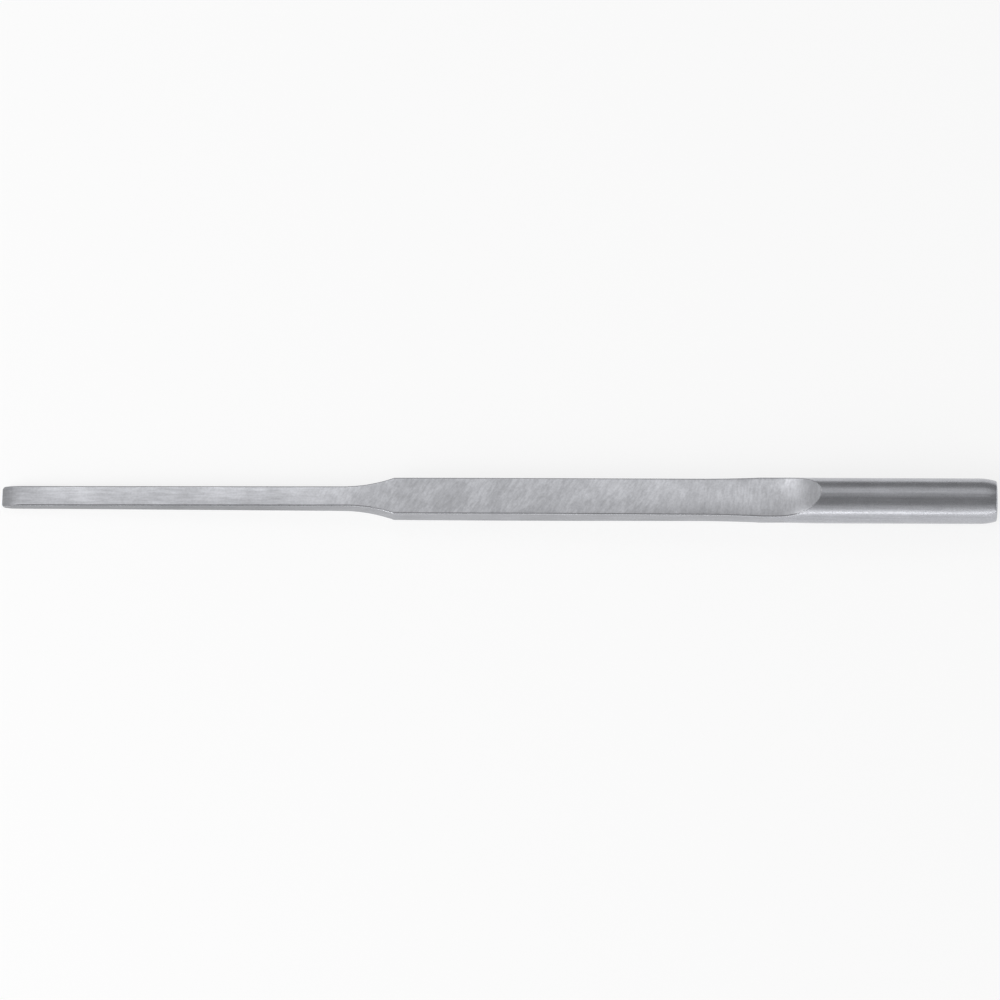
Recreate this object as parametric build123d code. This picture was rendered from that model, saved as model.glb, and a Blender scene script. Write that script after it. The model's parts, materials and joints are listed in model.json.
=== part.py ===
from build123d import *
import os
from math import atan2, cos, degrees, radians, sin, sqrt, tan

# Osteotome ground from one length of round steel bar, in millimetres.
# It is drawn with X from the cutting edge to the striking end along the bar's axis, Y across
# the blade and Z out of the broad faces, and is then laid down as it rests on a table.

# Bar stock and lengths along the axis
overall_length = 175.0
bar_diameter = 8.0
shank_length = 31.0
shoulder_from_edge = 69.0

# Cutting edge: a thin land between two bevels whose heels are rolled over into the blade
edge_land = 0.15
bevel_length = 2.2
bevel_roll_length = 1.4
bevel_roll_depth = 0.055
bevel_roll_radius = 8.0
tip_corner_radius = 0.6

# Blade, which thickens evenly towards the neck
blade_width = 3.85
blade_tip_thickness = 1.52
blade_root_thickness = 2.45

# Neck, flared from the blade's width to the grip's
flare_length = 8.8
neck_blend_length = 2.4
shoulder_radius = 0.5

# Grip: two broad faces for thumb and fingers, and two narrow sides ground off the bar
side_flat_depth = 0.5
grip_front_thickness = 3.05
grip_rear_thickness = 3.65

# Run-outs, where the grinding wheel left the bar
face_run_out_length = 8.1
side_run_out_length = 16.0
side_run_out_to_shank = 6.0

# Striking end: domed over from the bar, with a slightly crowned face
struck_dome_length = 3.1
struck_dome_depth = 0.46
struck_crown_height = 0.2
struck_edge_radius = 0.35

# Radius that the polishing wheel leaves on the edges round the broad faces
edge_break = 0.18

# Sizes worked out from the ones above
bar_radius = bar_diameter / 2
blade_half_width = blade_width / 2
blade_tip_half = blade_tip_thickness / 2
blade_root_half = blade_root_thickness / 2
grip_half_width = bar_radius - side_flat_depth
grip_front_half = grip_front_thickness / 2
grip_rear_half = grip_rear_thickness / 2
flare_start = shoulder_from_edge - flare_length
face_run_out_end = overall_length - shank_length
face_run_out_start = face_run_out_end - face_run_out_length
side_run_out_end = face_run_out_end - side_run_out_to_shank
side_run_out_start = side_run_out_end - side_run_out_length

# The grinding outlines end this far out and along, clear of the bar
cut_reach = bar_radius + side_flat_depth
cut_end = overall_length + bar_radius


def blade_half_thickness(distance):
    """Half the blade's thickness at a distance from the cutting edge."""
    rise = (blade_root_half - blade_tip_half) / flare_start
    return blade_tip_half + rise * distance


def run_out(start, slope, run, rise):
    """Arc that leaves start along slope, climbs rise within run and goes on past the bar."""
    chord = Vector(run, rise)
    normal = Vector(-sin(slope), cos(slope))
    radius = chord.dot(chord) / (2 * chord.dot(normal))
    centre = start + normal * radius
    end_x = centre.X + sqrt(radius**2 - (centre.Y - cut_reach) ** 2)
    return TangentArc(start, (end_x, cut_reach), tangent=(cos(slope), sin(slope)))


def blend_radius(before, corner, after):
    """Radius of the arc that leaves the first line neck_blend_length before the corner."""
    turn = (corner - before).get_angle(after - corner)
    return neck_blend_length / tan(radians(turn) / 2)


def closed_outline(*curves):
    """Face between a chain of curves above the axis and its mirror image below."""
    upper = Wire([edge for curve in curves for edge in curve.edges()])
    lower = mirror(upper, about=Plane.XZ)
    front, rear = upper @ 0, upper @ 1
    front_edge = Line(front, (front.X, -front.Y))
    rear_edge = Line(rear, (rear.X, -rear.Y))
    return make_face([*upper.edges(), *lower.edges(), front_edge, rear_edge])


def plan_outline():
    """Outline seen square to the broad faces: blade, flared neck, grip and side run-outs."""
    corner_start = (0, blade_half_width - tip_corner_radius)
    corner_end = (tip_corner_radius, blade_half_width)
    neck_start = (flare_start, blade_half_width)
    shoulder = (shoulder_from_edge, grip_half_width)
    side_end = Vector(side_run_out_start, grip_half_width)
    side_arc = run_out(side_end, 0, side_run_out_length, side_flat_depth)
    outline = closed_outline(
        TangentArc(corner_start, corner_end, tangent=(0, 1)),
        Line(corner_end, neck_start),
        TangentArc(neck_start, shoulder, tangent=(1, 0)),
        Line(shoulder, side_end),
        side_arc,
        Line(side_arc @ 1, (cut_end, cut_reach)),
    )
    shoulders = outline.vertices().filter_by_position(
        Axis.X, shoulder_from_edge - shoulder_radius, shoulder_from_edge + shoulder_radius
    )
    return fillet(shoulders, shoulder_radius)


def side_outline():
    """Outline seen along the blade's width: tapering faces and their run-outs."""
    blade_tip = Vector(0, blade_tip_half)
    blade_root = Vector(flare_start, blade_root_half)
    grip_front = Vector(shoulder_from_edge, grip_front_half)
    grip_rear = Vector(face_run_out_start, grip_rear_half)
    root_blend = blend_radius(blade_tip, blade_root, grip_front)
    grip_blend = blend_radius(blade_root, grip_front, grip_rear)
    faces = FilletPolyline(
        blade_tip, blade_root, grip_front, grip_rear, radius=[root_blend, grip_blend]
    )
    grip_line = grip_rear - grip_front
    slope = atan2(grip_line.Y, grip_line.X)
    face_arc = run_out(grip_rear, slope, face_run_out_length, bar_radius - grip_rear_half)
    return closed_outline(faces, face_arc, Line(face_arc @ 1, (cut_end, cut_reach)))


def bevel_outline():
    """Outline of both bevels, seen along the blade's width, opening out past the bar."""
    heel = Vector(bevel_length, blade_half_thickness(bevel_length) - bevel_roll_depth)
    roll_end_x = bevel_length + bevel_roll_length
    roll_end = Vector(roll_end_x, blade_half_thickness(roll_end_x))
    roll = roll_end - heel
    clear_of_bar = heel + roll * ((cut_end - bevel_length) / roll.X)
    return closed_outline(
        FilletPolyline((0, edge_land / 2), heel, clear_of_bar, radius=bevel_roll_radius)
    )


def turned_bar():
    """Round bar with the domed and slightly crowned end that the mallet strikes."""
    face_x = overall_length - struck_crown_height
    rim = (face_x, bar_radius - struck_dome_depth)
    dome_start = (face_x - struck_dome_length, bar_radius)
    section = make_face([
        Polyline((overall_length, 0), (0, 0), (0, bar_radius), dome_start),
        TangentArc(dome_start, rim, tangent=(1, 0)),
        TangentArc((overall_length, 0), rim, tangent=(0, 1)),
    ])
    struck_edge = section.vertices().sort_by_distance(rim)[0]
    return revolve(fillet(struck_edge, struck_edge_radius), axis=Axis.X)


def extruded_across(outline):
    """Solid of an outline seen along the blade's width."""
    return extrude(Plane.XZ * outline, amount=cut_reach, both=True)


def broad_face_edges(blank):
    """Edges round the two broad faces; the lines across them are not edges to break."""
    broad_faces = blank.faces().filter_by(lambda face: abs(face.normal_at().Z) > 0.5)
    return broad_faces.edges().filter_by(Axis.Y, reverse=True)


def finished_osteotome():
    """Bar ground to both outlines, with its edges broken before the bevels are ground."""
    plan = extrude(plan_outline(), amount=cut_reach, both=True)
    blank = turned_bar() & plan & extruded_across(side_outline())
    softened = fillet(broad_face_edges(blank), edge_break)
    return softened & extruded_across(bevel_outline())


def laid_down(piece):
    """The piece at rest on the ends of its lower bevel and lower run-out, origin beneath it."""
    bevel_end = bevel_length + bevel_roll_length
    drop = bar_radius - blade_half_thickness(bevel_end)
    rest_tilt = degrees(atan2(drop, face_run_out_end - bevel_end))
    resting = Rot(0, -rest_tilt, 0) * piece
    box = resting.bounding_box()
    return Pos(-box.center().X, -box.center().Y, -box.min.Z) * resting


os.makedirs("parts", exist_ok=True)
osteotome = laid_down(finished_osteotome())
osteotome.label = "osteotome"
export_step(osteotome, "parts/osteotome.step")
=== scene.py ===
"""Ground steel osteotome: its finish, the pale floor it lies on, the light and the camera."""

import json
import logging
import math
from dataclasses import dataclass
from enum import Enum

import bpy
from mathutils import Matrix, Quaternion, Vector

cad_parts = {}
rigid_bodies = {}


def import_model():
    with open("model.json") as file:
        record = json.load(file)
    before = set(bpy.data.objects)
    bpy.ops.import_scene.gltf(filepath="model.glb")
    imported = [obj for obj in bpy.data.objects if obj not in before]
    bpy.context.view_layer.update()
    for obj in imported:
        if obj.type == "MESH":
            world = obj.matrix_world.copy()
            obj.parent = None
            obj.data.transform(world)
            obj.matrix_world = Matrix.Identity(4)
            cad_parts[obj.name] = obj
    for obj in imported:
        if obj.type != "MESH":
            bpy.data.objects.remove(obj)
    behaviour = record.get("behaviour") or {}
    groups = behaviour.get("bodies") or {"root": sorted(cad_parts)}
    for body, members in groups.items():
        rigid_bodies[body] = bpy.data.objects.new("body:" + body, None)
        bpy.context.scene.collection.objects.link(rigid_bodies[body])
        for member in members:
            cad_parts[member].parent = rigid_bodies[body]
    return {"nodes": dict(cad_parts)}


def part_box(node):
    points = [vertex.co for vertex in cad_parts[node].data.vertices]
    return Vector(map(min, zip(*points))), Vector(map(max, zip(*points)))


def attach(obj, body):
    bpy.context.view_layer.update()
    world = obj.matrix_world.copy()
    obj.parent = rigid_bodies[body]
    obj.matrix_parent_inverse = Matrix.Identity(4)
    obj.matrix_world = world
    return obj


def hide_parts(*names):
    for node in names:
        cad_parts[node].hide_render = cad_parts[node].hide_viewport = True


LOG = logging.getLogger("osteotome")
BODY = "root"
NODE = "osteotome"
PIECE = "osteotome_steel"
MM = 0.001

NUMBER = "NodeSocketFloat"
PLACE = "NodeSocketVector"
EDGE_MARK = "edge"
PLAIN_WHITE = (1.0, 1.0, 1.0, 1.0)

# Millimetres within which surfaces touch, points fall together or lie in the middle plane
TOUCH = 1e-9
SAME_PLACE = 1e-3
IN_MIDDLE = 1e-7
# Millimetres over which a slope is measured, and just off the end of an arc
SLOPE_STEP = 1e-4
JUST_OFF = 1e-6
# Digits of a millimetre to which two points have to agree to be one
KEY_DIGITS = 5

# Ranges that one noise and the sum of two nearly fill, and how noise becomes rubbed patches
NOISE_RANGE = (0.25, 0.75)
TWO_NOISES_RANGE = (0.5, 1.5)
RUBBED_NOISE = (0.36, 0.64)
RUBBED_SHARE = (0.35, 1.0)

Point = tuple[float, float, float]
Pair = tuple[float, float]
Color = tuple[float, float, float]
Socket = bpy.types.NodeSocket
Outputs = bpy.types.bpy_prop_collection
Feed = float | tuple[float, ...] | Socket
Inputs = dict[str | int, Feed]


class Surface(Enum):
    """Kinds of surface round one cross-section."""

    SIDE = "narrow side"
    BAR = "bar"
    EDGE = "broken edge"
    FACE = "broad face"


# Which of GroundSteelBody.finishes each kind of surface has
MATERIAL_INDEX = {Surface.FACE: 0, Surface.EDGE: 1, Surface.SIDE: 1, Surface.BAR: 2}


def smooth_step(low: float, high: float, value: float) -> float:
    """Eases from 0 to 1 while a value goes from low to high.

    Args:
        low: Where the ease starts.
        high: Where it ends.
        value: The value.

    Returns:
        The share, from 0 to 1.
    """
    share = min(1.0, max(0.0, (value - low) / (high - low)))
    return share * share * (3.0 - 2.0 * share)


def arc_rise(run: float, full_run: float, full_rise: float, slope: float = 0.0) -> float:
    """Height of an arc that leaves the ground along a slope and climbs full_rise in full_run.

    Args:
        run: Distance from the arc's start.
        full_run: Distance at which the full rise is reached.
        full_rise: The rise there.
        slope: Angle of the ground where the arc leaves it.

    Returns:
        The height at that distance.
    """
    normal_part = full_rise * math.cos(slope) - full_run * math.sin(slope)
    radius = (full_run**2 + full_rise**2) / (2.0 * normal_part)
    centre_x = -radius * math.sin(slope)
    centre_y = radius * math.cos(slope)
    return centre_y - math.sqrt(max(radius**2 - (run - centre_x) ** 2, 0.0))


def bend(first: Pair, corner: Pair, last: Pair, share: float) -> Pair:
    """Point on the soft bend that leaves first towards a corner and ends at last.

    Args:
        first: Where the bend starts.
        corner: Where its two ends would meet if they ran on straight.
        last: Where it ends.
        share: How far along the bend the point is, from 0 to 1.

    Returns:
        The point.
    """
    near, far = (1.0 - share) ** 2, share**2
    mid = 2.0 * share * (1.0 - share)
    return (
        near * first[0] + mid * corner[0] + far * last[0],
        near * first[1] + mid * corner[1] + far * last[1],
    )


def evenly(low: float, high: float, step: float) -> list[float]:
    """Evenly spaced distances after low, up to and with high, about a step apart."""
    count = max(1, math.ceil((high - low) / step))
    return [low + (high - low) * k / count for k in range(1, count + 1)]


@dataclass(frozen=True)
class BladeAndBevel:
    """Sizes of the blade and its cutting edge, in millimetres."""

    edge_land: float = 0.15
    bevel_length: float = 2.2
    roll_length: float = 1.4
    roll_depth: float = 0.055
    roll_radius: float = 8.0
    corner_radius: float = 0.6
    width: float = 3.85
    tip_thickness: float = 1.52
    root_thickness: float = 2.45
    length: float = 60.2

    def half_thickness(self, x: float) -> float:
        """Half the blade's thickness at a distance from the cutting edge."""
        rise = (self.root_thickness - self.tip_thickness) / 2.0 / self.length
        return self.tip_thickness / 2.0 + rise * x

    def bevel(self, x: float) -> float:
        """Height of the upper bevel above the axis.

        Args:
            x: Distance from the cutting edge.

        Returns:
            The height of the bevel, its rolled heel or the line on which it runs out.
        """
        low = self.edge_land / 2.0
        heel_y = self.half_thickness(self.bevel_length) - self.roll_depth
        end_x = self.bevel_length + self.roll_length
        first = math.atan2(heel_y - low, self.bevel_length)
        second = math.atan2(self.half_thickness(end_x) - heel_y, self.roll_length)
        reach = self.roll_radius * math.tan((first - second) / 2.0)
        start_x = self.bevel_length - reach * math.cos(first)
        stop_x = self.bevel_length + reach * math.cos(second)
        if x <= start_x:
            return low + x * math.tan(first)
        if x >= stop_x:
            return heel_y + (x - self.bevel_length) * math.tan(second)
        centre_x = start_x + self.roll_radius * math.sin(first)
        centre_y = low + start_x * math.tan(first) - self.roll_radius * math.cos(first)
        return centre_y + math.sqrt(self.roll_radius**2 - (x - centre_x) ** 2)


@dataclass(frozen=True)
class GripAndNeck:
    """Sizes of the flared neck, the grip and the run-outs, in millimetres."""

    shoulder: float = 69.0
    flare_length: float = 8.8
    blend_length: float = 2.4
    shoulder_radius: float = 0.5
    half_width: float = 3.5
    front_thickness: float = 3.05
    rear_thickness: float = 3.65
    face_run_out_length: float = 8.1
    face_run_out_end: float = 144.0
    side_run_out_length: float = 16.0
    side_run_out_end: float = 138.0

    @property
    def flare_start(self) -> float:
        """Where the neck begins to widen."""
        return self.shoulder - self.flare_length

    @property
    def face_run_out_start(self) -> float:
        """Where the broad faces begin to climb out of the bar."""
        return self.face_run_out_end - self.face_run_out_length

    @property
    def side_run_out_start(self) -> float:
        """Where the narrow sides begin to climb out of the bar."""
        return self.side_run_out_end - self.side_run_out_length


@dataclass(frozen=True)
class BarAndStruckEnd:
    """Sizes of the round bar and the end that the mallet strikes, in millimetres."""

    length: float = 175.0
    radius: float = 4.0
    dome_length: float = 3.1
    dome_depth: float = 0.46
    crown_height: float = 0.2
    edge_radius: float = 0.35
    dome_steps: int = 16
    edge_steps: int = 8
    crown_steps: int = 9

    @property
    def dome_start(self) -> float:
        """Where the bar begins to draw in towards the struck face."""
        return self.length - self.crown_height - self.dome_length

    def end_profile(self) -> list[Pair]:
        """Draws the struck end from the bar's surface to its middle.

        Returns:
            Points as distance from the cutting edge and radius.
        """
        rim_x = self.length - self.crown_height
        rim_r = self.radius - self.dome_depth
        dome_angle = 2.0 * math.atan2(self.dome_depth, self.dome_length)
        crown_angle = math.pi / 2.0 - 2.0 * math.atan2(self.crown_height, rim_r)
        reach = self.edge_radius * math.tan((crown_angle - dome_angle) / 2.0)
        points = []
        last_run = self.dome_length - reach * math.cos(dome_angle)
        for step in range(1, self.dome_steps + 1):
            run = last_run * step / self.dome_steps
            drop = arc_rise(run, self.dome_length, self.dome_depth)
            points.append((self.dome_start + run, self.radius - drop))
        first = points[-1]
        last = (rim_x + reach * math.cos(crown_angle), rim_r - reach * math.sin(crown_angle))
        for step in range(1, self.edge_steps + 1):
            points.append(bend(first, (rim_x, rim_r), last, step / self.edge_steps))
        crown_radius = (rim_r**2 + self.crown_height**2) / (2.0 * self.crown_height)
        for step in range(1, self.crown_steps):
            out = last[1] * (1.0 - step / self.crown_steps)
            sag = crown_radius - math.sqrt(crown_radius**2 - out**2)
            points.append((self.length - sag, out))
        return points


@dataclass(frozen=True)
class HandGrinding:
    """What grinding and polishing by hand take off the plain form, in millimetres."""

    edge_break: float = 0.25
    bevel_edge_break: float = 0.025
    edge_blend: float = 0.25
    face_crown: float = 0.05
    face_roll: float = 0.18
    face_lean: float = 0.25
    crown_zone: Pair = (3.0, 12.0)
    roll_after_shoulder: float = 10.0
    lean_start: float = 92.0
    lean_before_run_out: float = 6.0
    fade_after_run_out: float = 3.0
    roll_power: float = 2.4


@dataclass(frozen=True)
class Form:
    """The instrument's outlines, with distances along the bar's axis from the cutting edge."""

    blade: BladeAndBevel = BladeAndBevel()
    grip: GripAndNeck = GripAndNeck()
    bar: BarAndStruckEnd = BarAndStruckEnd()
    hand: HandGrinding = HandGrinding()

    def half_width(self, x: float) -> float:
        """Half the width of the plan outline: blade, flare, shoulder, grip and side run-outs.

        Args:
            x: Distance from the cutting edge.

        Returns:
            Half the width there.
        """
        blade_half = self.blade.width / 2.0
        corner = self.blade.corner_radius
        if x < corner:
            return blade_half - corner + math.sqrt(corner**2 - (corner - x) ** 2)
        flare_start = self.grip.flare_start
        if x <= flare_start:
            return blade_half
        rise = self.grip.half_width - blade_half
        flare_radius = (self.grip.flare_length**2 + rise**2) / (2.0 * rise)
        round_y = self.grip.half_width - self.grip.shoulder_radius
        apart = flare_radius + self.grip.shoulder_radius
        drop = blade_half + flare_radius - round_y
        round_x = flare_start + math.sqrt(apart**2 - drop**2)
        touch_x = flare_start + (round_x - flare_start) * flare_radius / apart
        if x < touch_x:
            return blade_half + arc_rise(x - flare_start, self.grip.flare_length, rise)
        if x < round_x:
            return round_y + math.sqrt(self.grip.shoulder_radius**2 - (x - round_x) ** 2)
        start = self.grip.side_run_out_start
        if x <= start:
            return self.grip.half_width
        depth = self.bar.radius - self.grip.half_width
        climbed = arc_rise(x - start, self.grip.side_run_out_length, depth)
        return min(self.grip.half_width + climbed, self.bar.radius)

    def blank_half_thickness(self, x: float) -> float:
        """Half the thickness between the broad faces before the bevels are ground.

        Args:
            x: Distance from the cutting edge.

        Returns:
            Half the thickness there.
        """
        root_x, front_x = self.blade.length, self.grip.shoulder
        rear_x = self.grip.face_run_out_start
        root = self.blade.root_thickness / 2.0
        front = self.grip.front_thickness / 2.0
        rear = self.grip.rear_thickness / 2.0
        blade_slope = (root - self.blade.tip_thickness / 2.0) / root_x
        neck_slope = (front - root) / (front_x - root_x)
        grip_slope = (rear - front) / (rear_x - front_x)
        if x > rear_x:
            run, rise = self.grip.face_run_out_length, self.bar.radius - rear
            climbed = arc_rise(x - rear_x, run, rise, math.atan(grip_slope))
            return min(rear + climbed, self.bar.radius)
        if x < root_x:
            level = root + blade_slope * (x - root_x)
        elif x < front_x:
            level = root + neck_slope * (x - root_x)
        else:
            level = front + grip_slope * (x - front_x)
        blend = self.grip.blend_length
        turns = ((root_x, neck_slope - blade_slope), (front_x, grip_slope - neck_slope))
        for corner_x, turn in turns:
            near = blend - abs(x - corner_x)
            if near > 0.0:
                level += turn * near**2 / (4.0 * blend)
        return level

    def half_thickness(self, x: float) -> float:
        """Half the thickness with the bevels ground."""
        return min(self.blank_half_thickness(x), self.blade.bevel(x))

    def run_out_fade(self, x: float) -> float:
        """How much of the hand grinding is left towards the end of the broad faces."""
        start = self.grip.face_run_out_start + self.hand.fade_after_run_out
        return 1.0 - smooth_step(start, self.grip.face_run_out_end, x)

    def rolled(self, x: float, y: float) -> float:
        """Height of the broad face, which falls away a little towards its long edges.

        Args:
            x: Distance from the cutting edge.
            y: Distance from the middle of the face.

        Returns:
            The height above the axis.
        """
        hand = self.hand
        rear_from = self.grip.shoulder + hand.roll_after_shoulder
        front = smooth_step(*hand.crown_zone, x)
        rear = smooth_step(rear_from, self.grip.face_run_out_start, x)
        share = abs(y) / min(self.half_width(x), self.grip.half_width)
        drop = hand.face_crown * front * share**2 + hand.face_roll * rear * share**hand.roll_power
        return self.half_thickness(x) - drop * self.run_out_fade(x)

    def leaned(self, point: Point) -> Point:
        """Lowers the rear of the broad faces a little further towards the -Y side.

        Args:
            point: A point of the even form.

        Returns:
            The point where the wheel really left it.
        """
        x, y, z = point
        hand = self.hand
        full_at = self.grip.face_run_out_start - hand.lean_before_run_out
        rear = smooth_step(hand.lean_start, full_at, x)
        share = min(max(-y, 0.0) / self.grip.half_width, 1.0)
        drop = hand.face_lean * rear * self.run_out_fade(x) * share**hand.roll_power
        return x, y, z * (1.0 - drop / self.half_thickness(x))

    def slope(self, x: float) -> float:
        """Slope of the broad face along the axis, just before x."""
        high = max(x, SLOPE_STEP)
        return (self.half_thickness(high) - self.half_thickness(high - SLOPE_STEP)) / SLOPE_STEP

    def width_slope(self, x: float) -> float:
        """Slope of the plan outline along the axis, very steep at the cutting edge's corner.

        Args:
            x: Distance from the cutting edge.

        Returns:
            The slope there.
        """
        corner = self.blade.corner_radius
        if x < corner:
            back = corner - x
            return back / max(math.sqrt(corner**2 - back**2), JUST_OFF)
        wider, before = self.half_width(x + SLOPE_STEP), self.half_width(x - SLOPE_STEP)
        return (wider - before) / (2.0 * SLOPE_STEP)

    def rest_pose(self) -> Matrix:
        """Tilts and scales the drawn instrument so that it lies on the table.

        Returns:
            The transform from millimetres along the axis to metres at rest.
        """
        bevel_end = self.blade.bevel_length + self.blade.roll_length
        drop = self.bar.radius - self.blade.half_thickness(bevel_end)
        tilt = math.atan2(drop, self.grip.face_run_out_end - bevel_end)
        return Matrix.Rotation(-tilt, 4, "Y") @ Matrix.Scale(MM, 4)


@dataclass(frozen=True)
class Ring:
    """One quarter of a cross-section, from the narrow side to the middle of the broad face."""

    side: list[Point]
    bar: list[Point]
    edge: list[Point]
    face: list[Point]

    def quarter(self) -> list[Point]:
        """Puts the points in order, those closer than a micron in one place.

        Returns:
            The points of the quarter.
        """
        points = self.side + self.bar[1:] + self.edge[1:] + self.face[1:]
        for k in range(len(points) - 2, -1, -1):
            if math.dist(points[k], points[k + 1]) < SAME_PLACE:
                points[k] = points[k + 1]
        return points

    def closed(self) -> "Ring":
        """The ring with its broken edge drawn together on the middle line, for the tongue's tip."""
        edge = [(x, 0.0, z) for x, _, z in self.edge]
        return Ring(self.side, [*self.bar[:-1], edge[0]], edge, [edge[-1]] * len(self.face))


@dataclass(frozen=True)
class BrokenEdge:
    """Round that breaks one ridge, from the side or the bar up to the broad face."""

    low_x: float
    low: Vector
    corner: Vector
    top: Vector
    weight: float
    on_bar: bool

    def point(self, share: float) -> Point:
        """Point of the round.

        Args:
            share: How far up the round the point is, from 0 to 1.

        Returns:
            The point.
        """
        near, far = (1.0 - share) ** 2, share**2
        mid = 2.0 * share * (1.0 - share) * self.weight
        whole = near + mid + far
        return tuple((self.low * near + self.corner * mid + self.top * far) / whole)


@dataclass(frozen=True)
class RingCutter:
    """Cuts the form into quarter rings. Pitches are the rings' distances in millimetres."""

    form: Form = Form()
    side_steps: int = 3
    bar_steps: int = 24
    edge_steps: int = 4
    face_steps: int = 10
    ridge_rounds: int = 12
    corner_steps: int = 10
    bevel_steps: int = 16
    bevel_zone_end: float = 3.8
    blade_pitch: float = 1.6
    neck_pitch: float = 0.3
    shoulder_zone: float = 0.2
    shoulder_pitch: float = 0.04
    grip_pitch: float = 1.5
    side_run_out_pitch: float = 0.5
    run_out_lead: float = 4.0
    lead_pitch: float = 0.2
    run_out_steps: int = 72
    tip_gap: float = 0.05
    bar_pitch: float = 1.4

    @property
    def surfaces(self) -> list[Surface]:
        """Names the surfaces that follow each other round a quarter.

        Returns:
            The kind of each step, from the narrow side to the middle of the broad face.
        """
        return (
            [Surface.SIDE] * self.side_steps
            + [Surface.BAR] * self.bar_steps
            + [Surface.EDGE] * self.edge_steps
            + [Surface.FACE] * self.face_steps
        )

    @property
    def edge_marks(self) -> list[float]:
        """Marks the points of a quarter.

        Returns:
            For each point 1 inside the broken edge, otherwise 0.
        """
        first = self.side_steps + self.bar_steps + 1
        inside = range(first, first + self.edge_steps - 1)
        return [float(k in inside) for k in range(len(self.surfaces) + 1)]

    def ridge(self, x: float) -> Pair:
        """Finds where the broad face meets the side or the bar's round.

        Args:
            x: Distance from the cutting edge.

        Returns:
            The ridge's distance from the middle and its height.
        """
        wide, radius = self.form.half_width(x), self.form.bar.radius
        ridge_y = wide
        for _ in range(self.ridge_rounds):
            ridge_z = self.form.rolled(x, ridge_y)
            ridge_y = min(wide, math.sqrt(max(radius**2 - ridge_z**2, 0.0)))
        return ridge_y, self.form.rolled(x, ridge_y)

    def bar_band(self, ridge: Pair, wide: float) -> float:
        """Length of bar surface between the ridge and the narrow side.

        Args:
            ridge: The ridge's distance from the middle and its height.
            wide: Half the width there.

        Returns:
            The length: 0 where the side meets the face itself, and endless on the full bar.
        """
        radius = self.form.bar.radius
        if wide < radius and ridge[0] < wide - TOUCH:
            return radius * (math.asin(ridge[1] / radius) - math.acos(wide / radius))
        return math.inf if wide >= radius - TOUCH else 0.0

    def broken_edge(self, x: float) -> BrokenEdge:
        """Breaks the ridge at x.

        Args:
            x: Distance of the ridge from the cutting edge.

        Returns:
            The round, which is narrower where the bevels have ground it away.
        """
        form, hand = self.form, self.form.hand
        wide = form.half_width(x)
        ridge_y, ridge_z = self.ridge(x)
        ridge = Vector((x, ridge_y, ridge_z))
        on_face = Vector((-form.slope(x), 0.0, 1.0)).normalized()
        on_side = Vector((-form.width_slope(x), 1.0, 0.0)).normalized()
        on_bar = Vector((0.0, ridge_y, ridge_z)).normalized()
        band = self.bar_band((ridge_y, ridge_z), wide)
        to_bar = smooth_step(0.0, hand.edge_blend, band)
        ground_away = form.blank_half_thickness(x) - form.half_thickness(x)
        broken = max(min(hand.edge_break, hand.edge_break - ground_away), hand.bevel_edge_break)
        beside = on_side.lerp(on_bar, to_bar).normalized()
        turn = on_face.angle(beside)
        reach = broken * math.tan(turn / 2.0)
        along = on_face.cross(beside).normalized()
        inward = self.away(along.cross(on_face), beside)
        outward = self.away(along.cross(beside), on_face)
        top = ridge + inward * reach
        top.y = max(top.y, 0.0)
        top.z = form.rolled(top.x, top.y)
        low_x = x + outward.x * reach
        low = self.edge_end(low_x, ridge, outward * reach, wide, band)
        corner = Vector((low_x, wide, ridge_z)).lerp(ridge, to_bar)
        return BrokenEdge(low_x, low, corner, top, math.cos(turn / 2.0), band > reach)

    @staticmethod
    def away(direction: Vector, normal: Vector) -> Vector:
        """The direction, or its reverse where it would leave the surface beside it."""
        return -direction if direction.dot(normal) > 0.0 else direction

    def edge_end(self, x: float, ridge: Vector, step: Vector, wide: float, band: float) -> Vector:
        """Point where the broken edge ends, on the bar's round or on the narrow side.

        Args:
            x: Distance of the point from the cutting edge.
            ridge: The sharp ridge before it was broken.
            step: The way from the ridge to the point, along the surface there.
            wide: Half the width at the ridge.
            band: Length of bar surface between the ridge and the narrow side.

        Returns:
            The point.
        """
        radius, reach = self.form.bar.radius, step.length
        if band > reach:
            angle = math.atan2(ridge.z + step.z, max(ridge.y + step.y, 0.0))
            return Vector((x, radius * math.cos(angle), radius * math.sin(angle)))
        if band > 0.0:
            seam_z = radius * math.sin(math.acos(wide / radius))
            return Vector((x, self.form.half_width(x), seam_z - (reach - band)))
        return Vector((x, self.form.half_width(x), ridge.z - reach))

    def ring(self, x: float) -> Ring:
        """Quarter of the cross-section whose ridge between face and side lies at x.

        Args:
            x: Distance of the ridge from the cutting edge.

        Returns:
            The quarter ring. Surfaces that aren't there have all their points in one place.
        """
        radius = self.form.bar.radius
        if self.form.half_thickness(x) >= radius - TOUCH:
            return self.whole_round(x, radius)
        broken = self.broken_edge(x)
        low_x, low, top = broken.low_x, broken.low, broken.top
        edge = [broken.point(k / self.edge_steps) for k in range(self.edge_steps + 1)]
        seam = self.bar_seam(low_x, low.z) if broken.on_bar else low
        side = [(low_x, seam.y, seam.z * k / self.side_steps) for k in range(self.side_steps + 1)]
        bar = [tuple(low)] * (self.bar_steps + 1)
        if broken.on_bar:
            first, last = math.atan2(seam.z, seam.y), math.atan2(low.z, low.y)
            bar = self.arc(low_x, radius, first, last)
            bar[0], bar[-1] = side[-1], tuple(low)
        across = [top.y * (1.0 - k / self.face_steps) for k in range(self.face_steps + 1)]
        face = [(top.x, y, self.form.rolled(top.x, y)) for y in across]
        edge[0], edge[-1] = bar[-1], face[0]
        return Ring(side, bar, edge, face)

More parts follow.
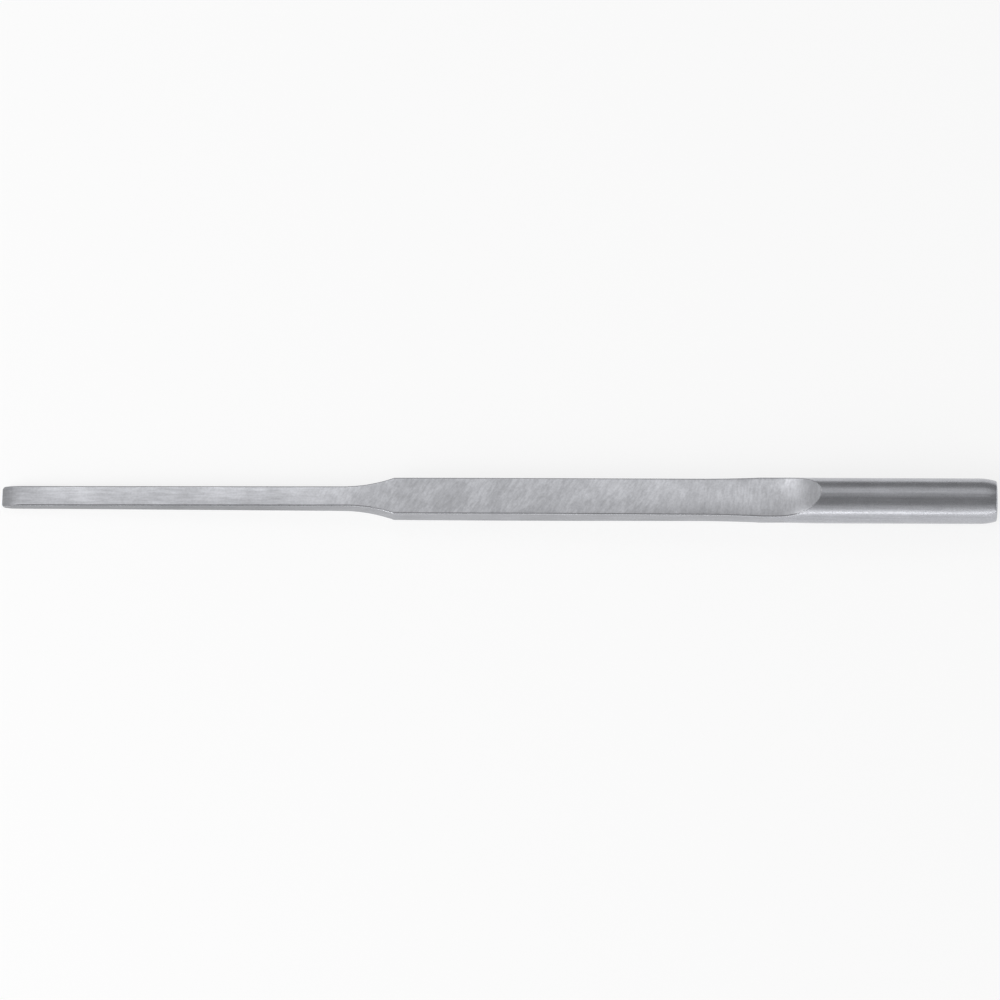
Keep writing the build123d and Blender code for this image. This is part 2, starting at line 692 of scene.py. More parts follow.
    def bar_seam(self, x: float, highest: float) -> Vector:
        """Point where the narrow side meets the bar's round.

        Args:
            x: Distance from the cutting edge.
            highest: Height that the side can't pass.

        Returns:
            The point.
        """
        radius = self.form.bar.radius
        wide = min(self.form.half_width(x), radius)
        return Vector((x, wide, min(highest, math.sqrt(max(radius**2 - wide**2, 0.0)))))

    def arc(self, x: float, radius: float, first: float, last: float) -> list[Point]:
        """Points on the bar's round from one angle to another.

        Args:
            x: Distance from the cutting edge.
            radius: Radius of the round.
            first: Angle of the first point above the table's plane.
            last: Angle of the last one.

        Returns:
            The points.
        """
        angles = [first + (last - first) * k / self.bar_steps for k in range(self.bar_steps + 1)]
        return [(x, radius * math.cos(angle), radius * math.sin(angle)) for angle in angles]

    def whole_round(self, x: float, radius: float) -> Ring:
        """Quarter of a full round of the bar or of its domed end.

        Args:
            x: Distance from the cutting edge.
            radius: Radius of the round.

        Returns:
            The quarter ring, which has only bar surface.
        """
        side = [(x, radius, 0.0)] * (self.side_steps + 1)
        bar = self.arc(x, radius, 0.0, math.pi / 2.0)
        bar[0], bar[-1] = side[0], (x, 0.0, radius)
        return Ring(side, bar, [bar[-1]] * (self.edge_steps + 1), [bar[-1]] * (self.face_steps + 1))

    def land_rings(self, first: Ring) -> list[Ring]:
        """Rings that carry the cutting land from its flat up to the bevel.

        Args:
            first: The ring at the cutting edge.

        Returns:
            The rings, from the flat land to just before the given one.
        """
        made = []
        for step in range(self.edge_steps):
            x, y, z = first.edge[step]
            edge = [first.edge[min(k, step)] for k in range(self.edge_steps + 1)]
            shares = [1.0 - k / self.face_steps for k in range(self.face_steps + 1)]
            face = [(x, y * share, z) for share in shares]
            made.append(Ring(first.side, first.bar, edge, face))
        return made

    def stations(self) -> list[float]:
        """Spaces the rings along the ground part, close together where the form turns.

        Returns:
            Their distances from the cutting edge.
        """
        grip, corner = self.form.grip, self.form.blade.corner_radius
        angles = self.quarter_turn(self.corner_steps)
        found = [corner * (1.0 - math.cos(angle)) for angle in angles]
        bevel_run = self.bevel_zone_end - corner
        found += [corner + bevel_run * k / self.bevel_steps for k in range(1, self.bevel_steps + 1)]
        start, length = grip.face_run_out_start, grip.face_run_out_length
        stretches = (
            (grip.flare_start - grip.blend_length, self.blade_pitch),
            (grip.shoulder - self.shoulder_zone, self.neck_pitch),
            (grip.shoulder + self.shoulder_zone, self.shoulder_pitch),
            (grip.shoulder + grip.blend_length, self.neck_pitch),
            (grip.side_run_out_start, self.grip_pitch),
            (start - self.run_out_lead, self.side_run_out_pitch),
            (start, self.lead_pitch),
        )
        low = self.bevel_zone_end
        for high, pitch in stretches:
            found += evenly(low, high, pitch)
            low = high
        angles = self.quarter_turn(self.run_out_steps)[1:-1]
        return found + [start + length * math.sin(angle) for angle in angles]

    @staticmethod
    def quarter_turn(steps: int) -> list[float]:
        """Angles of a quarter turn in even steps, with both its ends."""
        return [math.radians(90.0 * k / steps) for k in range(steps + 1)]

    def rings(self) -> list[Ring]:
        """Cuts all rings.

        Returns:
            The rings in order, from the cutting edge to the struck end.
        """
        bar = self.form.bar
        ground = [self.ring(x) for x in self.stations()]
        tip = self.ring(self.form.grip.face_run_out_end - JUST_OFF).closed()
        round_start = tip.bar[-1][0] + self.tip_gap
        along = [round_start, *evenly(round_start, bar.dome_start, self.bar_pitch)]
        rounds = [(x, bar.radius) for x in along] + bar.end_profile()
        whole = [self.whole_round(x, radius) for x, radius in rounds]
        return self.land_rings(ground[0]) + ground + [tip] + whole


class Skin:
    """Points and faces of one closed mesh, gathered so that equal points are one."""

    def __init__(self) -> None:
        """Starts with nothing."""
        self.points: list[Point] = []
        self.marks: list[float] = []
        self.faces: list[tuple[int, ...]] = []
        self.surfaces: list[Surface] = []
        self.index: dict[Point, int] = {}

    def keep(self, point: Point, mark: float) -> int:
        """Keeps a point once.

        Args:
            point: The point in millimetres.
            mark: 1 on a broken edge, otherwise 0.

        Returns:
            The point's number.
        """
        key = tuple(round(value, KEY_DIGITS) for value in point)
        if key not in self.index:
            self.index[key] = len(self.points)
            self.points.append(point)
            self.marks.append(mark)
        number = self.index[key]
        self.marks[number] = max(self.marks[number], mark)
        return number

    def lay(self, corners: list[int], surface: Surface) -> None:
        """Lays one face, unless its corners fall together or lie in the middle plane.

        Args:
            corners: Numbers of its points in order.
            surface: The kind of surface that it belongs to.
        """
        unique = [corner for i, corner in enumerate(corners) if corner != corners[i - 1]]
        in_middle = all(abs(self.points[corner][1]) < IN_MIDDLE for corner in unique)
        if len(set(unique)) >= 3 and not in_middle:
            self.faces.append(tuple(unique))
            self.surfaces.append(surface)

    def mesh(self, name: str, form: Form) -> bpy.types.Mesh:
        """Makes the mesh as the wheel left it, lying at rest.

        Args:
            name: Name of the mesh.
            form: The form that the points were cut from.

        Returns:
            The mesh, with its broken edges marked.
        """
        made = bpy.data.meshes.new(name)
        made.from_pydata([form.leaned(point) for point in self.points], [], self.faces)
        places = [MATERIAL_INDEX[kind] for kind in self.surfaces]
        made.polygons.foreach_set("material_index", places)
        made.polygons.foreach_set("use_smooth", [True] * len(self.faces))
        edge = made.attributes.new(EDGE_MARK, "FLOAT", "POINT")
        edge.data.foreach_set("value", self.marks)
        made.transform(form.rest_pose())
        made.update()
        return made


class NodeTree:
    """Adds named nodes to one node tree and joins them."""

    def __init__(self, tree: bpy.types.NodeTree) -> None:
        """Works on the tree as it is."""
        self.tree = tree

    def add(
        self, kind: str, name: str, inputs: Inputs | None = None, **settings: object
    ) -> bpy.types.Node:
        """Adds one node.

        Args:
            kind: Blender's name for the kind of node.
            name: Plain name shown on the node.
            inputs: What each input takes, by its name or place: a value or another node's output.
            **settings: The node's own properties, which are set before its inputs.

        Returns:
            The node.
        """
        made = self.tree.nodes.new(kind)
        made.name = made.label = name
        for key, value in settings.items():
            setattr(made, key, value)
        self.feed(made, inputs or {})
        return made

    def feed(self, node: bpy.types.Node, inputs: Inputs) -> None:
        """Sets or joins a node's inputs.

        Args:
            node: The node.
            inputs: What each input takes, by its name or place.
        """
        for key, value in inputs.items():
            if isinstance(value, Socket):
                self.tree.links.new(value, node.inputs[key])
            else:
                node.inputs[key].default_value = value

    def effect(self, name: str, group: bpy.types.ShaderNodeTree, inputs: Inputs) -> Outputs:
        """Places a shared node group and returns its outputs."""
        return self.add("ShaderNodeGroup", name, inputs, node_tree=group).outputs

    def calculate(self, name: str, operation: str, *values: Feed) -> Socket:
        """Calculates with numbers and returns the result."""
        inputs = dict(enumerate(values))
        return self.add("ShaderNodeMath", name, inputs, operation=operation).outputs[0]

    def spread(self, name: str, value: Feed, given: Pair, wanted: Pair) -> Socket:
        """Eases a value over from one range to another.

        Args:
            name: Plain name shown on the node.
            value: The value.
            given: The range that the value comes in.
            wanted: The range that it goes to.

        Returns:
            The eased value.
        """
        ends = zip(("From Min", "From Max", "To Min", "To Max"), (*given, *wanted))
        inputs = {"Value": value, **dict(ends)}
        node = self.add("ShaderNodeMapRange", name, inputs, interpolation_type="SMOOTHSTEP")
        return node.outputs[0]

    def blend(self, name: str, share: Feed, first: Feed, second: Feed) -> Socket:
        """Mixes two numbers by a share and returns the result."""
        node = self.add("ShaderNodeMix", name, {0: share, 2: first, 3: second}, data_type="FLOAT")
        return node.outputs[0]


class SteelEffects:
    """Effects that the steel finishes share, each a node group that is built once."""

    def __init__(self) -> None:
        """Builds the groups."""
        self.strokes = self.wheel_strokes()
        self.clouds = self.cloudy_polish()
        self.wear = self.edge_wear()

    @staticmethod
    def group(name: str, inputs: dict[str, str], outputs: list[str]) -> bpy.types.ShaderNodeTree:
        """Starts a node group with its named sockets.

        Args:
            name: Name of the group.
            inputs: Names of the inputs, each with its kind of socket.
            outputs: Names of the outputs, which are all numbers.

        Returns:
            The group, with its input and output nodes in it.
        """
        made = bpy.data.node_groups.new(name, "ShaderNodeTree")
        for label, kind in inputs.items():
            made.interface.new_socket(label, in_out="INPUT", socket_type=kind)
        for label in outputs:
            made.interface.new_socket(label, in_out="OUTPUT", socket_type=NUMBER)
        made.nodes.new("NodeGroupInput").name = "in"
        made.nodes.new("NodeGroupOutput").name = "out"
        return made

    def wheel_strokes(self) -> bpy.types.ShaderNodeTree:
        """Draws the fine strokes that a grinding wheel leaves across or along a surface.

        Returns:
            The group. It takes a place in millimetres, and the strokes' angle, length and width.
        """
        inputs = {"Vector": PLACE, "Angle": NUMBER, "Length": NUMBER, "Width": NUMBER}
        made = self.group("Wheel strokes", inputs, ["Height", "Tone"])
        tree = NodeTree(made)
        taken, given = made.nodes["in"].outputs, made.nodes["out"]
        back = tree.calculate("turn back", "MULTIPLY", taken["Angle"], -1.0)
        inputs = {"Vector": taken["Vector"], "Angle": back}
        turned = tree.add(
            "ShaderNodeVectorRotate", "turn to the strokes", inputs, rotation_type="Z_AXIS"
        )
        along = tree.calculate("per length", "DIVIDE", 1.0, taken["Length"])
        across = tree.calculate("per width", "DIVIDE", 1.0, taken["Width"])
        scale = tree.add("ShaderNodeCombineXYZ", "stroke shape", {0: along, 1: across, 2: across})
        inputs = {0: turned.outputs[0], 1: scale.outputs[0]}
        drawn = tree.add("ShaderNodeVectorMath", "stretch", inputs, operation="MULTIPLY")
        fine = {"Vector": drawn.outputs[0], "Scale": 1.0, "Detail": 2.0, "Roughness": 0.5}
        broad = {"Vector": drawn.outputs[0], "Scale": 0.62, "Detail": 3.0, "Roughness": 0.6}
        height = tree.add("ShaderNodeTexNoise", "scratches", fine)
        tone = tree.add("ShaderNodeTexNoise", "passes of the wheel", broad)
        tree.feed(given, {"Height": height.outputs[0], "Tone": tone.outputs[0]})
        return made

    def cloudy_polish(self) -> bpy.types.ShaderNodeTree:
        """Draws the soft clouds and the fine grain that hand polishing leaves.

        Returns:
            The group. It takes a place in millimetres and the size of the clouds.
        """
        inputs = {"Vector": PLACE, "Size": NUMBER}
        made = self.group("Cloudy polish", inputs, ["Tone", "Haze", "Grain"])
        tree = NodeTree(made)
        taken, given = made.nodes["in"].outputs, made.nodes["out"]
        scale = tree.calculate("per size", "DIVIDE", 1.0, taken["Size"])
        wide = {"Vector": taken["Vector"], "Scale": scale, "Detail": 3.0, "Distortion": 0.4}
        small = tree.calculate("small clouds", "MULTIPLY", scale, 3.1)
        fine = {"Vector": taken["Vector"], "Scale": small, "Detail": 4.0, "Roughness": 0.6}
        grainy = {"Vector": taken["Vector"], "Scale": 2.6, "Detail": 2.0, "Roughness": 0.5}
        clouds = tree.add("ShaderNodeTexNoise", "clouds", wide).outputs[0]
        haze = tree.add("ShaderNodeTexNoise", "haze", fine).outputs[0]
        grain = tree.add("ShaderNodeTexNoise", "grain", grainy).outputs[0]
        tree.feed(given, {"Tone": clouds, "Haze": haze, "Grain": grain})
        return made

    def edge_wear(self) -> bpy.types.ShaderNodeTree:
        """Finds where handling has rubbed the broken edges bright.

        Returns:
            The group. It takes a place in millimetres and the mesh's edge mark.
        """
        made = self.group("Edge wear", {"Vector": PLACE, "Edge": NUMBER}, ["Wear"])
        tree = NodeTree(made)
        taken, given = made.nodes["in"].outputs, made.nodes["out"]
        patchy = {"Vector": taken["Vector"], "Scale": 0.55, "Detail": 4.0, "Roughness": 0.65}
        noise = tree.add("ShaderNodeTexNoise", "patches", patchy)
        patches = tree.spread("rubbed patches", noise.outputs[0], RUBBED_NOISE, RUBBED_SHARE)
        worn = tree.calculate("worn", "MULTIPLY", patches, taken["Edge"])
        tree.feed(given, {"Wear": worn})
        return made


@dataclass(frozen=True)
class Strokes:
    """One set of wheel strokes: its angle to the axis in degrees, and sizes in millimetres."""

    angle: float
    length: float
    width: float


@dataclass(frozen=True)
class SteelFinish:
    """Look of one kind of ground steel, with distances from the cutting edge in millimetres."""

    name: str
    color: Color
    roughness: float
    strokes: tuple[Strokes, ...]
    changes: tuple[Pair, ...] = ()
    # Brightness along the length: partly the polish, partly painted shade
    polish_and_shade_tones: tuple[Pair, ...] = ((0.0, 1.0),)
    full_length: float = 175.0
    depth_mm: float = 0.004
    tone_share: float = 0.09
    cloud_share: float = 0.05
    cloud_size: float = 6.0
    grain_share: float = 0.05
    roughness_share: float = 0.12
    edge_gain: float = 1.08
    worn_roughness: float = 0.8

    def material(self, effects: SteelEffects, edge_x: float) -> bpy.types.Material:
        """Builds the material.

        Args:
            effects: The shared node groups.
            edge_x: Where the cutting edge lies along X, in millimetres.

        Returns:
            The finished material.
        """
        made = bpy.data.materials.new(self.name)
        made.use_nodes = True
        tree = NodeTree(made.node_tree)
        place = self.place(tree, edge_x)
        height, tone = self.drawn_strokes(tree, effects, place)
        polish = tree.effect("clouds", effects.clouds, {"Vector": place, "Size": self.cloud_size})
        edge = tree.add("ShaderNodeAttribute", "edge mark", attribute_name=EDGE_MARK).outputs["Fac"]
        wear = tree.effect("wear", effects.wear, {"Vector": place, "Edge": edge})["Wear"]
        inputs = {
            "Base Color": self.toned_color(tree, place, tone, polish, wear),
            "Roughness": self.varied_roughness(tree, tone, polish["Haze"], wear),
            "Metallic": 1.0,
            "Normal": self.bump(tree, height),
        }
        tree.feed(made.node_tree.nodes["Principled BSDF"], inputs)
        return made

    def place(self, tree: NodeTree, edge_x: float) -> Socket:
        """Measures the place on the steel in millimetres, with X from the cutting edge.

        Args:
            tree: The material's nodes.
            edge_x: Where the cutting edge lies along X, in millimetres.

        Returns:
            The place.
        """
        coordinates = tree.add("ShaderNodeTexCoord", "place in metres")
        inputs = {0: coordinates.outputs["Object"], 1: (1.0 / MM,) * 3, 2: (-edge_x, 0.0, 0.0)}
        node = tree.add("ShaderNodeVectorMath", "millimetres", inputs, operation="MULTIPLY_ADD")
        return node.outputs[0]

    def drawn_strokes(
        self, tree: NodeTree, effects: SteelEffects, place: Socket
    ) -> tuple[Socket, Socket]:
        """Draws all sets of strokes and lets each pass over into the next.

        Args:
            tree: The material's nodes.
            effects: The shared node groups.
            place: Place in millimetres.

        Returns:
            The height and the tone of the strokes.
        """
        sets = []
        for strokes in self.strokes:
            angle = math.radians(strokes.angle)
            shape = {"Angle": angle, "Length": strokes.length, "Width": strokes.width}
            sets.append(tree.effect("strokes", effects.strokes, {"Vector": place, **shape}))
        height, tone = sets[0]["Height"], sets[0]["Tone"]
        split = tree.add("ShaderNodeSeparateXYZ", "along the axis", {0: place})
        for change, following in zip(self.changes, sets[1:]):
            share = tree.spread("pass over", split.outputs["X"], change, (0.0, 1.0))
            height = tree.blend("height", share, height, following["Height"])
            tone = tree.blend("tone", share, tone, following["Tone"])
        return height, tone

    def polish_and_shade_along(self, tree: NodeTree, place: Socket) -> Socket:
        """Brightness along the length, from one named distance to the next: partly the polish,
        partly painted shade.

        Args:
            tree: The material's nodes.
            place: Place in millimetres.

        Returns:
            The tone.
        """
        split = tree.add("ShaderNodeSeparateXYZ", "distance from the edge", {0: place})
        distance = split.outputs["X"]
        share = tree.calculate("share of the length", "DIVIDE", distance, self.full_length)
        ramp = tree.add("ShaderNodeValToRGB", "polish and painted shade along the length", {0: share})
        ramp.color_ramp.interpolation = "EASE"
        stops = ramp.color_ramp.elements
        while len(stops) < len(self.polish_and_shade_tones):
            stops.new(1.0)
        while len(stops) > len(self.polish_and_shade_tones):
            stops.remove(stops[-1])
        for stop, (distance, tone) in zip(stops, self.polish_and_shade_tones):
            stop.position = distance / self.full_length
            stop.color = (tone, tone, tone, 1.0)
        return ramp.outputs[0]

    def toned_color(
        self, tree: NodeTree, place: Socket, tone: Socket, polish: Outputs, wear: Socket
    ) -> Socket:
        """Colour that varies along the length, partly with painted shade, and with the strokes and
        clouds, and on worn edges.

        Args:
            tree: The material's nodes.
            place: Place in millimetres.
            tone: Tone of the strokes.
            polish: What the cloudy polish gives.
            wear: Mask of the worn edges.

        Returns:
            The colour.
        """
        level = tree.spread("by strokes", tone, NOISE_RANGE, self.around_one(self.tone_share))
        for label, part, swing in (
            ("by clouds", polish["Tone"], self.cloud_share),
            ("by grain", polish["Grain"], self.grain_share),
        ):
            factor = tree.spread(label, part, NOISE_RANGE, self.around_one(swing))
            level = tree.calculate("and " + label, "MULTIPLY", level, factor)
        by_wear = tree.blend("by wear", wear, 1.0, self.edge_gain)
        level = tree.calculate("and wear", "MULTIPLY", level, by_wear)
        # Painted shade along the length, together with the polish
        level = tree.calculate("and place", "MULTIPLY", level, self.polish_and_shade_along(tree, place))
        inputs = {0: self.color, "Scale": level}
        return tree.add("ShaderNodeVectorMath", "toned", inputs, operation="SCALE").outputs[0]

    @staticmethod
    def around_one(swing: float) -> Pair:
        """Range of a factor that swings as far below 1 as above it."""
        return 1.0 - swing, 1.0 + swing

    def varied_roughness(self, tree: NodeTree, tone: Socket, haze: Socket, wear: Socket) -> Socket:
        """Roughness that varies with the strokes and the haze, and is lower on worn edges.

        Args:
            tree: The material's nodes.
            tone: Tone of the strokes.
            haze: Haze between the clouds.
            wear: Mask of the worn edges.

        Returns:
            The roughness.
        """
        both = tree.calculate("strokes and haze", "ADD", tone, haze)
        swing = self.roughness * self.roughness_share
        wanted = (self.roughness + swing, self.roughness - swing)
        rough = tree.spread("roughness", both, TWO_NOISES_RANGE, wanted)
        return tree.blend("worn roughness", wear, rough, self.roughness * self.worn_roughness)

    def bump(self, tree: NodeTree, height: Socket) -> Socket:
        """Lets the strokes stand in the surface."""
        inputs = {"Height": height, "Distance": self.depth_mm * MM, "Strength": 1.0}
        return tree.add("ShaderNodeBump", "stroke relief", inputs).outputs[0]


FLATS = SteelFinish(
    name="ground_faces",
    color=(0.72, 0.728, 0.765),
    roughness=0.38,
    strokes=(Strokes(0.0, 2.6, 0.30), Strokes(58.0, 1.1, 0.34), Strokes(84.0, 1.1, 0.34)),
    changes=((50.0, 62.0), (112.0, 128.0)),
    # Painted shade: darker on the bevel at the cutting edge and at the end of the face run-out;
    # darker also over the neck and the grip's front
    polish_and_shade_tones=(
        (0.5, 0.66),
        (3.5, 0.84),
        (12.0, 1.01),
        (56.0, 1.01),
        (72.0, 0.83),
        (92.0, 0.86),
        (112.0, 0.97),
        (138.0, 0.99),
        (144.0, 0.70),
    ),
    tone_share=0.12,
    cloud_share=0.09,
    cloud_size=4.5,
    grain_share=0.06,
)
# Narrow sides and broken edges: their colour, far darker than the faces', is partly their ground
# finish and partly painted shade
SIDES_WITH_PAINTED_SHADE = SteelFinish(
    name="ground_sides_painted_shade",
    color=(0.44, 0.445, 0.468),
    roughness=0.32,
    strokes=(Strokes(0.0, 8.0, 0.24),),
    depth_mm=0.0025,
    # Painted shade: darker along the blade's narrow sides
    polish_and_shade_tones=((40.0, 0.72), (70.0, 0.94), (118.0, 0.94), (136.0, 1.0)),
)
BAR = SteelFinish(
    name="polished_bar",
    color=(0.46, 0.466, 0.495),
    roughness=0.27,
    strokes=(Strokes(0.0, 12.0, 0.20),),
    depth_mm=0.0015,
    tone_share=0.08,
)


@dataclass(frozen=True)
class GroundSteelBody:
    """The whole instrument as one closed mesh, drawn as the part's source draws it."""

    cutter: RingCutter = RingCutter()
    finishes: tuple[SteelFinish, ...] = (FLATS, SIDES_WITH_PAINTED_SHADE, BAR)
    sharp_angle: float = 26.0
    faded_seam: float = 1.5

    @property
    def form(self) -> Form:
        """The form that the rings are cut from."""
        return self.cutter.form

    def loops(self, skin: Skin) -> list[list[int]]:
        """Mirrors each quarter ring into a whole loop of points.

        Args:
            skin: The mesh that keeps the points.

        Returns:
            Numbers of each loop's points, from the cutting edge to the struck end.
        """
        marks = self.cutter.edge_marks
        count = len(marks) - 1
        order = [(k, 1, 1) for k in range(count + 1)]
        order += [(k, -1, 1) for k in range(count - 1, -1, -1)]
        order += [(k, -1, -1) for k in range(1, count + 1)]
        order += [(k, 1, -1) for k in range(count - 1, 0, -1)]
        made = []
        for ring in self.cutter.rings():
            quarter = ring.quarter()
            loop = []
            for k, across, up in order:
                x, y, z = quarter[k]
                # Adding zero turns a mirrored -0.0 into 0.0, so that both are one point
                loop.append(skin.keep((x, across * y + 0.0, up * z + 0.0), marks[k]))
            made.append(loop)
        return made

    def seam_lines(self, loops: list[list[int]]) -> set[tuple[int, ...]]:
        """Finds the lines in which bar and narrow side meet.

        Args:
            loops: Numbers of each loop's points.

        Returns:
            The two point numbers of each line in rising order.
        """
        count, seam = len(self.cutter.surfaces), self.cutter.side_steps
        columns = (seam, 2 * count - seam, 2 * count + seam, 4 * count - seam)
        found = set()
        for near, far in zip(loops, loops[1:]):
            for k in columns:
                beside = {near[k - 1], near[(k + 1) % len(near)]}
                if far[k] != near[k] and beside != {near[k]}:
                    found.add(tuple(sorted((near[k], far[k]))))
        return found

    def is_seam(self, point: Point) -> bool:
        """Tells whether bar and narrow side meet at a point in a line that can be seen.

        Args:
            point: A point of the even form.

        Returns:
            True where they do.
        """
        seen_to = self.form.grip.side_run_out_end - self.faded_seam
        inside = self.form.grip.side_run_out_start < point[0] < seen_to
        on_round = math.hypot(point[1], point[2]) > self.form.bar.radius - SAME_PLACE
        return inside and on_round

    def cover(self, skin: Skin, loops: list[list[int]]) -> None:
        """Lays the faces between the loops and closes both ends.

        Args:
            skin: The mesh that takes the faces.
            loops: Numbers of each loop's points.
        """
        kinds = self.cutter.surfaces
        around = kinds + kinds[::-1] + kinds + kinds[::-1]
        for near, far in zip(loops, loops[1:]):
            for k, kind in enumerate(around):
                after = (k + 1) % len(around)
                skin.lay([near[k], near[after], far[after], far[k]], kind)
        skin.lay(loops[0][::-1], Surface.FACE)
        last = loops[-1]
        middle = skin.keep((self.form.bar.length, 0.0, 0.0), 0.0)
        for k, corner in enumerate(last):
            skin.lay([corner, last[(k + 1) % len(last)], middle], Surface.BAR)

    @staticmethod
    def seat(mesh: bpy.types.Mesh) -> None:
        """Moves the mesh onto the box of the part's own solid.

        Args:
            mesh: The mesh, tilted as it lies at rest.
        """
        low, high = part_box(NODE)
        xs = [vertex.co.x for vertex in mesh.vertices]
        zs = [vertex.co.z for vertex in mesh.vertices]
        ahead = (low.x + high.x) / 2.0 - (min(xs) + max(xs)) / 2.0
        mesh.transform(Matrix.Translation(Vector((ahead, 0.0, low.z - min(zs)))))

    def build(self) -> bpy.types.Object:
        """Builds the mesh, seats it and marks its sharp lines.

        Returns:
            The instrument.
        """
        skin = Skin()
        loops = self.loops(skin)
        seams = self.seam_lines(loops)
        self.cover(skin, loops)
        mesh = skin.mesh(PIECE, self.form)
        made = bpy.data.objects.new(PIECE, mesh)
        bpy.context.scene.collection.objects.link(made)
        self.seat(mesh)
        mesh.set_sharp_from_angle(angle=math.radians(self.sharp_angle))
        for line in mesh.edges:
            first = skin.points[line.vertices[0]]
            if tuple(sorted(line.vertices)) in seams and self.is_seam(first):
                line.use_edge_sharp = True
        weighted = made.modifiers.new("even_shading", "WEIGHTED_NORMAL")
        weighted.keep_sharp = True
        LOG.info("body: %d points, %d faces", len(skin.points), len(skin.faces))
        return made

    def dress(self, body: bpy.types.Object, effects: SteelEffects) -> None:
        """Gives the instrument its finishes.

        Args:
            body: The instrument.
            effects: The shared node groups.
        """
        edge_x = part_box(NODE)[0].x / MM
        for finish in self.finishes:
            body.data.materials.append(finish.material(effects, edge_x))
            LOG.info("finish: %s", finish.name)


@dataclass(frozen=True)
class SoftBox:
    """One soft light: where it hangs round the table, its size in metres and its level."""

    name: str
    azimuth: float
    elevation: float
    size: Pair
    level: float
    distance: float = 1.2

    def hang(self) -> bpy.types.Object:
        """Hangs the light so that it faces the middle of the table.

        Returns:
            The light.
        """
        data = bpy.data.lights.new(self.name, "AREA")
        data.shape = "RECTANGLE"
        data.size, data.size_y = self.size
        data.energy = self.level * math.pi * self.size[0] * self.size[1]
        around, up = math.radians(self.azimuth), math.radians(self.elevation)
        flat = math.cos(up)
        out = Vector((math.sin(around) * flat, -math.cos(around) * flat, math.sin(up)))
        made = bpy.data.objects.new(self.name, data)
        made.location = out * self.distance
        made.rotation_mode = "QUATERNION"
        made.rotation_quaternion = out.to_track_quat("Z", "Y")
        made.visible_camera = False
        bpy.context.scene.collection.objects.link(made)
        return made


@dataclass(frozen=True)
class PaleFloor:
    """Plain white table that reaches past the picture, in metres."""

    half_size: float = 4.0
    color: Color = (0.93, 0.93, 0.93)
    roughness: float = 0.9
    shine: float = 0.1
    own_white: float = 0.76

    def lay(self) -> bpy.types.Object:
        """Lays the floor under the instrument.

        Returns:
            The floor.
        """
        half = self.half_size
        corners = [(-half, -half, 0.0), (half, -half, 0.0), (half, half, 0.0), (-half, half, 0.0)]
        mesh = bpy.data.meshes.new("floor")
        mesh.from_pydata(corners, [], [(0, 1, 2, 3)])
        mesh.materials.append(self.material())
        made = bpy.data.objects.new("floor", mesh)
        bpy.context.scene.collection.objects.link(made)
        return made

    def material(self) -> bpy.types.Material:
        """Matt white that camera, reflections and glass see as the picture's background.

        Returns:
            The material.
        """
        made = bpy.data.materials.new("white_table")
        made.use_nodes = True
        tree = NodeTree(made.node_tree)
        shader = made.node_tree.nodes["Principled BSDF"]
        inputs = {"Base Color": (*self.color, 1.0), "Roughness": self.roughness}
        tree.feed(shader, {**inputs, "Specular IOR Level": self.shine})
        rays = tree.add("ShaderNodeLightPath", "kind of ray").outputs
        direct, mirrored = rays["Is Camera Ray"], rays["Is Glossy Ray"]
        seen = tree.calculate("seen or mirrored", "ADD", direct, mirrored)
        seen = tree.calculate("or through glass", "ADD", seen, rays["Is Transmission Ray"])
        share = tree.calculate("share of white", "MULTIPLY", seen, self.own_white)
        inputs = {"Color": PLAIN_WHITE, "Strength": 1.0}
        white = tree.add("ShaderNodeEmission", "background white", inputs)
        inputs = {0: share, 1: shader.outputs[0], 2: white.outputs[0]}
        mixed = tree.add("ShaderNodeMixShader", "table", inputs)
        tree.feed(made.node_tree.nodes["Material Output"], {"Surface": mixed.outputs[0]})
        return made


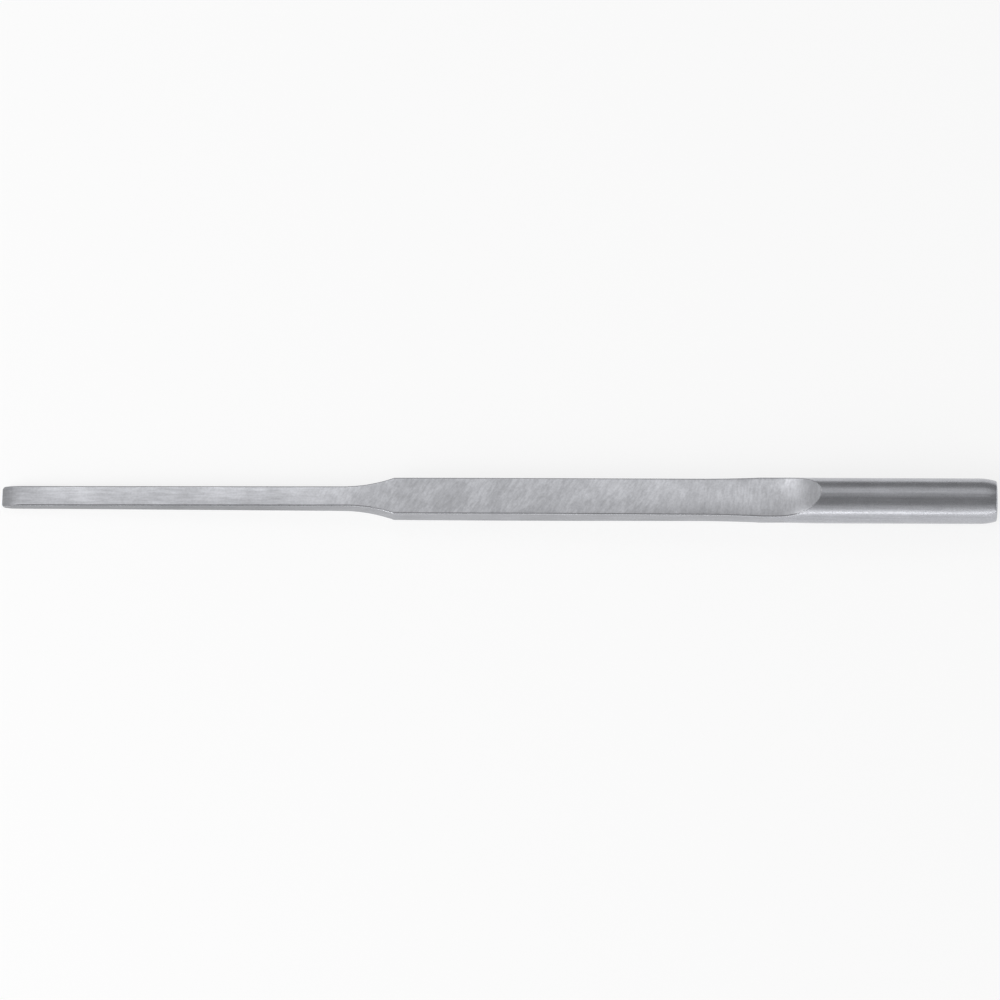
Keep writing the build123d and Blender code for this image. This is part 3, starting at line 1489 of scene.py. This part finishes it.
@dataclass(frozen=True)
class Studio:
    """Pale floor, soft lights and the camera, with angles in degrees and sizes in metres."""

    picture_width: float = 0.17584
    lens_mm: float = 250.0
    sensor_mm: float = 36.0
    clip: Pair = (0.05, 20.0)
    elevation: float = 66.0
    roll: float = 0.763
    aim: Point = (0.00012, 0.0, 0.002405)
    room_level: float = 0.29
    floor: PaleFloor = PaleFloor()
    boxes: tuple[SoftBox, ...] = (
        SoftBox("back_wide", 180.0, 65.0, (1.1, 1.22), 0.20),
        SoftBox("back_key", 180.0, 61.0, (1.5, 0.52), 0.25),
        SoftBox("back_left_key", 207.0, 42.0, (0.46, 0.46), 1.1),
        SoftBox("front_strip", 0.0, 3.0, (1.6, 0.12), 2.9),
        SoftBox("front_glow", 0.0, 14.0, (1.6, 0.35), 0.45),
        SoftBox("front_wide", 0.0, 26.0, (1.6, 0.78), 0.30),
        SoftBox("front_left_box", 300.0, 26.0, (0.9, 0.9), 5.4),
        SoftBox("left_box", 270.0, 13.0, (1.6, 0.4), 2.4),
        SoftBox("right_box", 90.0, 13.0, (1.6, 0.4), 1.6),
    )

    def set_up(self) -> None:
        """Lays the floor, hangs the lights, fills the room with light and places the camera."""
        self.floor.lay()
        LOG.info("floor laid")
        for box in self.boxes:
            box.hang()
            LOG.info("light: %s", box.name)
        self.room()
        self.camera()

    def room(self) -> None:
        """Fills the room with an even dim light."""
        world = bpy.data.worlds.new("room")
        world.use_nodes = True
        background = world.node_tree.nodes["Background"]
        background.inputs["Color"].default_value = PLAIN_WHITE
        background.inputs["Strength"].default_value = self.room_level
        bpy.context.scene.world = world

    def camera(self) -> bpy.types.Object:
        """Places the camera at the photograph's angle.

        Returns:
            The camera.
        """
        data = bpy.data.cameras.new("camera")
        data.sensor_width = self.sensor_mm
        data.lens = self.lens_mm
        data.clip_start, data.clip_end = self.clip
        distance = self.picture_width * self.lens_mm / self.sensor_mm
        tilt = math.radians(self.elevation)
        back = Vector((0.0, -math.cos(tilt), math.sin(tilt)))
        turn = Quaternion((0.0, 0.0, 1.0), math.radians(self.roll))
        made = bpy.data.objects.new("camera", data)
        made.location = Vector(self.aim) + back * distance
        made.rotation_mode = "QUATERNION"
        made.rotation_quaternion = (-back).to_track_quat("-Z", "Y") @ turn
        bpy.context.scene.collection.objects.link(made)
        bpy.context.scene.camera = made
        bpy.context.scene.view_settings.view_transform = "Standard"
        return made


def main(frame: dict) -> None:
    """Dresses the osteotome, lights it and logs how many packed nodes and mesh points it has.
    """
    LOG.info("packed nodes: %d", len(frame["nodes"]))
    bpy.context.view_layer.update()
    steel = GroundSteelBody()
    body = steel.build()
    steel.dress(body, SteelEffects())
    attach(body, BODY)
    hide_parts(NODE)
    LOG.info("piece: %s on %s, in the place of %s", body.name, BODY, NODE)
    Studio().set_up()


if __name__ == "__main__":
    logging.basicConfig(level=logging.INFO, format="%(name)s: %(message)s")
    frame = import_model()
    main(frame)
